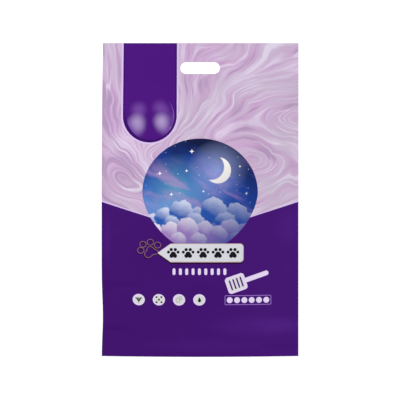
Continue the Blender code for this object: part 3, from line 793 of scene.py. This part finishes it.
def badges(place, inks):
    """Four round badges, each with a small dark sign: a sprout, grains, a breeze and a drop."""
    nearest = row_place(place, spot(70.2, 490.2), BADGE_PITCH, 4)
    reach = oval_reach(nearest, ORIGIN)
    yield covered(reach, BADGE_RADIUS * MM), inks.pale
    yield covered(reach, 8.6 * MM, 3 * MM), inks.badge
    signs = [box(place, spot(70.3, 491.5), 1.3, 11.0, 0.6)]
    for side in (-1, 1):
        for run, turn in ((3.4, 52), (1.9, 74)):
            leaf = vector("SUBTRACT", place, spot(70.3 + side * run, 490.5 - run / 2))
            signs.append(box(turned(leaf, -side * turn), ORIGIN, 7.6, 1.7, 0.8))
    grains = beside(place, spot(109.2, 490.0))
    signs.append(disc(grains, ORIGIN, 1.9))
    signs.append(box(grains, (4.7 * MM, 4.9 * MM, 0.0), 3.6, 3.2, 0.9))
    signs.append(disc(place, spot(187.0, 491.6), 3.0))
    tip = mirrored(vector("SUBTRACT", place, spot(187.0, 484.6)))
    cone = half_plane(tip, ORIGIN, 24)
    level = half_plane(tip, (0.0, -6.6 * MM, 0.0), -90)
    signs.append(calc("MINIMUM", cone, level))
    yield union(*signs), inks.mark
    # The breeze is fainter: two open curls in grey
    faint = []
    for left, top, radius in ((145.8, 490.8, 3.9), (150.6, 487.2, 2.9)):
        away = vector("DISTANCE", place, spot(left, top))
        faint.append(ring(away, radius, 1.2))
    yield calc("MULTIPLY", union(*faint), 0.45), inks.mark


def emblem(place, inks):
    """A slotted litter scoop over a thin frame that holds a row of grains."""
    scoop = turned(vector("SUBTRACT", place, spot(*SCOOP_MIDDLE)), -19)
    head = box(scoop, ORIGIN, 38.0, 32.0, 6.0)
    handle = box(scoop, (SCOOP_HANDLE / 2 * MM, 0.0, 0.0), SCOOP_HANDLE, 9.0, 4.5)
    slots = row_place(scoop, (-1.5 * SCOOP_SLOT_PITCH * MM, 0.0, 0.0), SCOOP_SLOT_PITCH, 4)
    slots = box(slots, ORIGIN, 3.0, 20.0, 1.5)
    whole = union(head, handle)
    yield without(whole, slots), inks.pale
    # The middle of the scoop is a little greyer, as if brushed
    middle = box(scoop, ORIGIN, 32.0, 26.0, 5.0, 4 * MM)
    yield calc("MULTIPLY", without(middle, slots), 0.7), inks.badge
    left, top = FRAME_MIDDLE
    outer = box(place, spot(left, top), 88.9, 18.4, 2.4)
    line = without(outer, box(place, spot(left, top), 86.4, 15.9, 1.2))
    yield line, inks.frame_line
    grains = row_place(place, spot(left - 2.5 * GRAIN_PITCH, top), GRAIN_PITCH, 6)
    yield disc(grains, ORIGIN, 5.6), inks.pale


def film_material(name, artwork, inks):
    """Satin polyester film, printed on its inner side: soft reflections over even ink."""
    material = bpy.data.materials.new(name)
    material.use_nodes = True
    tree = material.node_tree
    shader = tree.nodes["Principled BSDF"]
    place = add("ShaderNodeUVMap", tree=tree, uv_map="print_sheet")
    ground = marble(place, inks)
    # Each part of the artwork gives its layers from the lowest up, as their coverage and their ink
    for part in artwork:
        for shape, colour in part(place, inks):
            ground = inked(ground, shape, colour)
    tree.links.new(ground, shader.inputs["Base Color"])
    # Polyester has an IOR of 1.5 or so, and its satin coat spreads reflections
    scuff = add(NOISE, place, 38.0, 4.0, 0.6)
    rough = add(RANGE, scuff, 0.3, 0.7, 0.38, 0.48)
    tree.links.new(rough, shader.inputs["Roughness"])
    shader.inputs["IOR"].default_value = 1.5
    shader.inputs["Specular IOR Level"].default_value = 0.06
    # Slack film has shallow dents 25 to 40 mm across and a faint grain about 3 mm across
    dents = add(NOISE, place, 32.0, 3.0, 0.55)
    grain = add(NOISE, place, 330.0, 2.0, 0.5)
    relief = calc("MULTIPLY_ADD", grain, 0.02, dents)
    bump = add("ShaderNodeBump", 0.35, 0.6 * MM, None, relief)
    tree.links.new(bump, shader.inputs["Normal"])
    return material


def flow_levels(x, y):
    """The marble's level at each place: a thin plate bent to pass through the drawn lines."""
    known = np.array([(*spot(*place)[:2], level) for level, line in MARBLE_FLOW for place in line])
    places, levels = known[:, :2], known[:, 2]

    def pull(distance):
        safe = np.maximum(distance, 1e-9)
        return safe**2 * np.log(safe)

    count = len(levels)
    gaps = np.linalg.norm(places[:, None] - places[None], axis=2)
    plane = np.column_stack((np.ones(count), places))
    system = np.zeros((count + 3, count + 3))
    system[:count, :count] = pull(gaps) + FLOW_SMOOTHING * np.eye(count)
    system[:count, count:] = plane
    system[count:, :count] = plane.T
    weights = np.linalg.solve(system, np.append(levels, np.zeros(3)))
    result = weights[count] + weights[count + 1] * x + weights[count + 2] * y
    for (px, py), weight in zip(places, weights[:count]):
        result += weight * pull(np.hypot(x - px, y - py))
    return result


def seen_directly(tree):
    """Full for the rays that show a thing to the camera, none for those that light the bag."""
    rays = add("ShaderNodeLightPath", tree=tree).node.outputs
    kinds = ("Is Camera Ray", "Is Glossy Ray", "Is Transmission Ray")
    return union(*(rays[kind] for kind in kinds))


def fine_creases(x, y):
    """Height of the fine creases at each place, in metres."""
    relief = np.zeros(len(x))
    for start, end, depth in CREASES:
        start = np.array(spot(*start)[:2])
        run = np.array(spot(*end)[:2]) - start
        share = ((x - start[0]) * run[0] + (y - start[1]) * run[1]) / (run @ run)
        near = np.clip(share, 0, 1)
        away = np.hypot(x - start[0] - near * run[0], y - start[1] - near * run[1])
        profile = np.clip(1 - away / CREASE_HALF_WIDTH, 0, 1) ** 2
        relief -= depth * MM * profile * np.sin(math.pi * near)
    return relief


def chosen(name):
    """Selects one object alone and makes it active."""
    for other in bpy.context.selected_objects:
        other.select_set(False)
    piece = bpy.data.objects[name]
    piece.select_set(True)
    bpy.context.view_layer.objects.active = piece
    return piece


def applied(piece, kind, **settings):
    """Adds a modifier with its settings and applies it."""
    modifier = piece.modifiers.new(kind.title(), kind)
    for name, value in settings.items():
        setattr(modifier, name, value)
    bpy.ops.object.modifier_apply(modifier=modifier.name)


def read(items, field, width=1, kind=float):
    """One field of all items of a mesh, as rows of a width."""
    values = np.empty(len(items) * width, kind)
    items.foreach_get(field, values)
    return values.reshape(-1, width) if width > 1 else values


def move_points(piece, places):
    """Puts a piece's points at new places."""
    piece.data.vertices.foreach_set("co", places.ravel())
    piece.data.update()


class LITTERBAG_OT_film(bpy.types.Operator):
    """Model the two plies of film as one welded bag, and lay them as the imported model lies"""

    bl_idname = "litterbag.film"
    bl_label = "Film bag"

    def execute(self, context):
        film = context.scene.litter_bag_film
        piece = self.slab(film)
        self.punch(film)
        self.mark_places(piece, film)
        self.lay(piece, film)
        chosen(piece.name)
        bpy.ops.object.shade_smooth_by_angle(angle=math.radians(40))
        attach(piece, "root")
        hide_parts(CAD_NODE)
        return {"FINISHED"}

    def slab(self, film):
        """Both plies, flat and welded: a fine grid extruded to their thickness."""
        bpy.ops.object.select_all(action="DESELECT")
        bpy.ops.mesh.primitive_grid_add(
            x_subdivisions=round(WIDTH / film.pitch),
            y_subdivisions=round(LENGTH / film.pitch),
            size=1,
        )
        piece = bpy.context.active_object
        piece.name = piece.data.name = "printed_film_bag"
        piece.scale = (WIDTH, LENGTH, 1)
        bpy.ops.object.transform_apply(location=True, rotation=True, scale=True)
        bpy.ops.object.mode_set(mode="EDIT")
        bpy.ops.mesh.select_all(action="SELECT")
        bpy.ops.mesh.extrude_region_move(TRANSFORM_OT_translate={"value": (0, 0, 2 * film.gauge)})
        bpy.ops.mesh.select_all(action="SELECT")
        bpy.ops.mesh.normals_make_consistent(inside=False)
        bpy.ops.object.mode_set(mode="OBJECT")
        return piece

    def punch(self, film):
        """The hand slot, cut through both plies with a die that has round ends."""
        bpy.ops.object.select_all(action="DESELECT")
        bpy.ops.mesh.primitive_cube_add(size=1, location=spot(SLOT_LEFT, film.slot_drop / MM))
        die = bpy.context.active_object
        die.name = "slot_die"
        die.scale = (film.slot_length, film.slot_width, DIE_HEIGHT)
        bpy.ops.object.transform_apply(location=True, rotation=True, scale=True)
        for part in (*die.data.vertices, *die.data.polygons):
            part.select = False
        for edge in die.data.edges:
            ends = [die.data.vertices[index].co for index in edge.vertices]
            edge.select = abs(ends[0].z - ends[1].z) > DIE_HEIGHT / 2
        bpy.context.tool_settings.mesh_select_mode = (False, True, False)
        bpy.ops.object.mode_set(mode="EDIT")
        # A little less than half the width, so that the rounds don't meet
        bpy.ops.mesh.bevel(offset=film.slot_width * 0.499, segments=14, affect="EDGES")
        bpy.ops.object.mode_set(mode="OBJECT")
        piece = chosen("printed_film_bag")
        applied(piece, "BOOLEAN", operation="DIFFERENCE", object=die, solver="EXACT")
        bpy.data.objects.remove(die)

    def mark_places(self, piece, film):
        """Notes each point's place on the flat sheet and its marble level, and lays out a texture map."""
        mesh = piece.data
        x, y, z = read(mesh.vertices, "co", 3).T
        corners = read(mesh.loops, "vertex_index", kind=int)
        sizes = read(mesh.polygons, "loop_total", kind=int)
        facing = np.repeat(read(mesh.polygons, "normal", 3), sizes, axis=0)
        for layer in list(mesh.uv_layers):
            mesh.uv_layers.remove(layer)
        sheet = mesh.uv_layers.new(name="print_sheet")
        sheet.uv.foreach_set("vector", np.column_stack((x, y))[corners].ravel())
        levels = mesh.attributes.new("marble_flow", "FLOAT", "POINT")
        levels.data.foreach_set("value", flow_levels(x, y))
        # The face takes the map's full height, the cut edges are strips round it and the back is narrower
        scale = (1 - 2 * MAP_MARGIN) / LENGTH
        spread = np.column_stack((x + WIDTH / 2, y + LENGTH / 2))[corners] * scale + MAP_MARGIN
        back = facing[:, 2] < -0.5
        cut = (np.abs(facing[:, 2]) <= 0.5) & (z[corners] < film.gauge)
        spread[cut] += MAP_STRIP * facing[cut][:, :2]
        face_end = MAP_MARGIN + WIDTH * scale
        squeeze = (1 - face_end - 3 * MAP_MARGIN) / (WIDTH * scale)
        spread[back, 0] = face_end + MAP_MARGIN + spread[back, 0] * squeeze
        layout = mesh.uv_layers.new(name="OFBake")
        layout.uv.foreach_set("vector", spread.ravel())

    def lay(self, piece, film):
        """Lays the flat slab: edges drawn in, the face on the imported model's, and its slack and creases."""
        places = read(piece.data.vertices, "co", 3)
        x, y, z = places.T.copy()
        top = z > film.gauge
        left_share = np.clip(-x / (WIDTH / 2), 0, 1)
        head_share = np.clip(y / (LENGTH / 2), 0, 1)
        foot_share = np.clip(-y / (LENGTH / 2), 0, 1)
        rise = y + LENGTH / 2
        crease_share = np.exp(-(((rise - CREASE_DRAW_RISE) / CREASE_DRAW_SPREAD) ** 2))
        draw = left_share * (HEAD_DRAW * head_share**2 + CREASE_DRAW * crease_share)
        places[:, 0] += draw
        places[:, 1] += FOOT_BOW * foot_share * (x / (WIDTH / 2)) ** 2
        move_points(piece, places)
        to_side = WIDTH / 2 - SIDE_SEAL - np.abs(x)
        to_end = np.minimum(LENGTH / 2 - HEADER - y, rise - FOOT_SEAL)
        inside = top & (to_side > 0) & (to_end > 0)
        fade = np.clip(np.minimum(to_side, to_end) / RELIEF_FADE, 0, 1)
        fade = np.where(inside, fade * fade * (3 - 2 * fade), 0)
        face = piece.vertex_groups.new(name="face")
        face.add(np.flatnonzero(inside).tolist(), 1.0, "REPLACE")
        relief = piece.vertex_groups.new(name="relief")
        for level in range(1, 11):
            some = np.flatnonzero((fade > (level - 1) / 10) & (fade <= level / 10))
            relief.add(some.tolist(), level / 10, "REPLACE")
        chosen(piece.name)
        onto = {"wrap_method": "PROJECT", "target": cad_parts[CAD_NODE], "vertex_group": "face"}
        upwards = {"use_project_z": True, "use_positive_direction": True, "use_negative_direction": False}
        applied(piece, "SHRINKWRAP", **onto, **upwards)
        upright = {"use_x": False, "use_y": False, "vertex_group": "face"}
        applied(piece, "SMOOTH", factor=0.5, iterations=30, **upright)
        slack = bpy.data.textures.new("film_slack", "CLOUDS")
        slack.noise_scale = film.slack_pitch
        slack.noise_depth = 2
        waves = {"texture": slack, "texture_coords": "GLOBAL", "direction": "Z", "mid_level": 0.5}
        applied(piece, "DISPLACE", **waves, strength=film.slack, vertex_group="relief")
        bpy.data.textures.remove(slack)
        places = read(piece.data.vertices, "co", 3)
        creased = fine_creases(x, y) * np.where(top & (to_end > 0), 1.0, 0.0)
        places[:, 2] = np.where(top, np.maximum(places[:, 2] + creased, 2 * film.gauge), places[:, 2])
        move_points(piece, places)
        piece.vertex_groups.clear()


class LITTERBAG_OT_print(bpy.types.Operator):
    """Print the bag: the artwork on its face and the plain back"""

    bl_idname = "litterbag.print"
    bl_label = "Print"

    def execute(self, context):
        inks = context.scene.litter_bag_inks
        piece = bpy.data.objects["printed_film_bag"]
        artwork = (violet_field, banner, picture, paw_outline, label, pills, badges, emblem)
        piece.data.materials.clear()
        piece.data.materials.append(film_material("printed_satin_film_face", artwork, inks))
        piece.data.materials.append(film_material("printed_satin_film_back", (violet_field,), inks))
        for face in piece.data.polygons:
            face.material_index = 1 if face.normal.z < -0.5 else 0
        return {"FINISHED"}


class LITTERBAG_OT_stage(bpy.types.Operator):
    """Set up the white studio: floor, soft lights, surrounding light and camera"""

    bl_idname = "litterbag.stage"
    bl_label = "Studio"

    def execute(self, context):
        stage = context.scene.litter_bag_stage
        self.floor()
        self.light("key_softbox", (-1.5, 1.0, 1.3), 0.9, stage.key_power)
        self.light("fill_softbox", (1.4, -0.7, 1.5), 1.6, stage.fill_power)
        self.surroundings(context.scene, stage)
        self.camera(context.scene, stage)
        context.scene.view_settings.view_transform = "Standard"
        return {"FINISHED"}

    def floor(self):
        """White paper that stays white to the camera and keeps the bag's shadow."""
        bpy.ops.object.select_all(action="DESELECT")
        bpy.ops.mesh.primitive_plane_add(size=12)
        floor = bpy.context.active_object
        floor.name = "studio_floor"
        paper = bpy.data.materials.new("matt_white_paper")
        paper.use_nodes = True
        tree = paper.node_tree
        shader = tree.nodes["Principled BSDF"]
        shader.inputs["Roughness"].default_value = 0.9
        shader.inputs["Specular IOR Level"].default_value = 0.0
        fibres = add(NOISE, None, 900.0, 3.0, 0.6, tree=tree)
        tone = inked(linear("EDEDED"), fibres, linear("F6F6F6"))
        tree.links.new(tone, shader.inputs["Base Color"])
        seen = calc("MULTIPLY", seen_directly(tree), 0.22)
        tree.links.new(seen, shader.inputs["Emission Strength"])
        shader.inputs["Emission Color"].default_value = (1, 1, 1, 1)
        floor.data.materials.append(paper)

    def light(self, name, place, breadth, power):
        """A square softbox that faces the bag."""
        bpy.ops.object.light_add(type="AREA", location=place)
        lamp = bpy.context.active_object
        lamp.name = lamp.data.name = name
        lamp.data.shape = "SQUARE"
        lamp.data.size = breadth
        lamp.data.energy = power
        lamp.rotation_mode = "QUATERNION"
        lamp.rotation_quaternion = lamp.location.to_track_quat("Z", "Y")

    def surroundings(self, scene, stage):
        """Even light all round, which the camera sees as plain white."""
        world = bpy.data.worlds.new("studio_surroundings")
        scene.world = world
        world.use_nodes = True
        tree = world.node_tree
        background = tree.nodes["Background"]
        strength = add(RANGE, seen_directly(tree), 0.0, 1.0, stage.sky, 1.0)
        tree.links.new(strength, background.inputs["Strength"])
        background.inputs["Color"].default_value = (1, 1, 1, 1)

    def camera(self, scene, stage):
        """Straight above the bag, through a long lens."""
        bpy.ops.object.camera_add(location=(0, 0, stage.camera_height), rotation=(0, 0, 0))
        camera = bpy.context.active_object
        camera.name = camera.data.name = "copy_camera"
        camera.data.lens = camera.data.sensor_width * stage.camera_height / stage.frame_width
        camera.data.clip_end = 100
        scene.camera = camera


class LITTERBAG_PT_panel(bpy.types.Panel):
    """The bag's sizes, inks and studio"""

    bl_label = "Litter bag"
    bl_idname = "LITTERBAG_PT_panel"
    bl_space_type = "VIEW_3D"
    bl_region_type = "UI"
    bl_category = "Litter bag"

    def draw(self, context):
        for group_name, operator in zip(GROUPS, OPERATORS):
            group = getattr(context.scene, group_name)
            column = self.layout.box().column()
            for name in group.__annotations__:
                column.prop(group, name)
            column.operator(operator.bl_idname)


GROUPS = {
    "litter_bag_film": LitterBagFilm,
    "litter_bag_inks": LitterBagInks,
    "litter_bag_stage": LitterBagStage,
}
OPERATORS = (LITTERBAG_OT_film, LITTERBAG_OT_print, LITTERBAG_OT_stage)
CLASSES = (*GROUPS.values(), *OPERATORS, LITTERBAG_PT_panel)


def register():
    """Makes the add-on's classes and settings known to Blender."""
    for cls in CLASSES:
        bpy.utils.register_class(cls)
    for name, group in GROUPS.items():
        setattr(bpy.types.Scene, name, bpy.props.PointerProperty(type=group))


def unregister():
    """Takes the add-on's settings and classes out of Blender."""
    for name in GROUPS:
        delattr(bpy.types.Scene, name)
    for cls in reversed(CLASSES):
        bpy.utils.unregister_class(cls)


def main():
    """Builds the bag, prints it and sets up its studio."""
    register()
    bpy.ops.litterbag.film()
    bpy.ops.litterbag.print()
    bpy.ops.litterbag.stage()


if __name__ == "__main__":
    main()
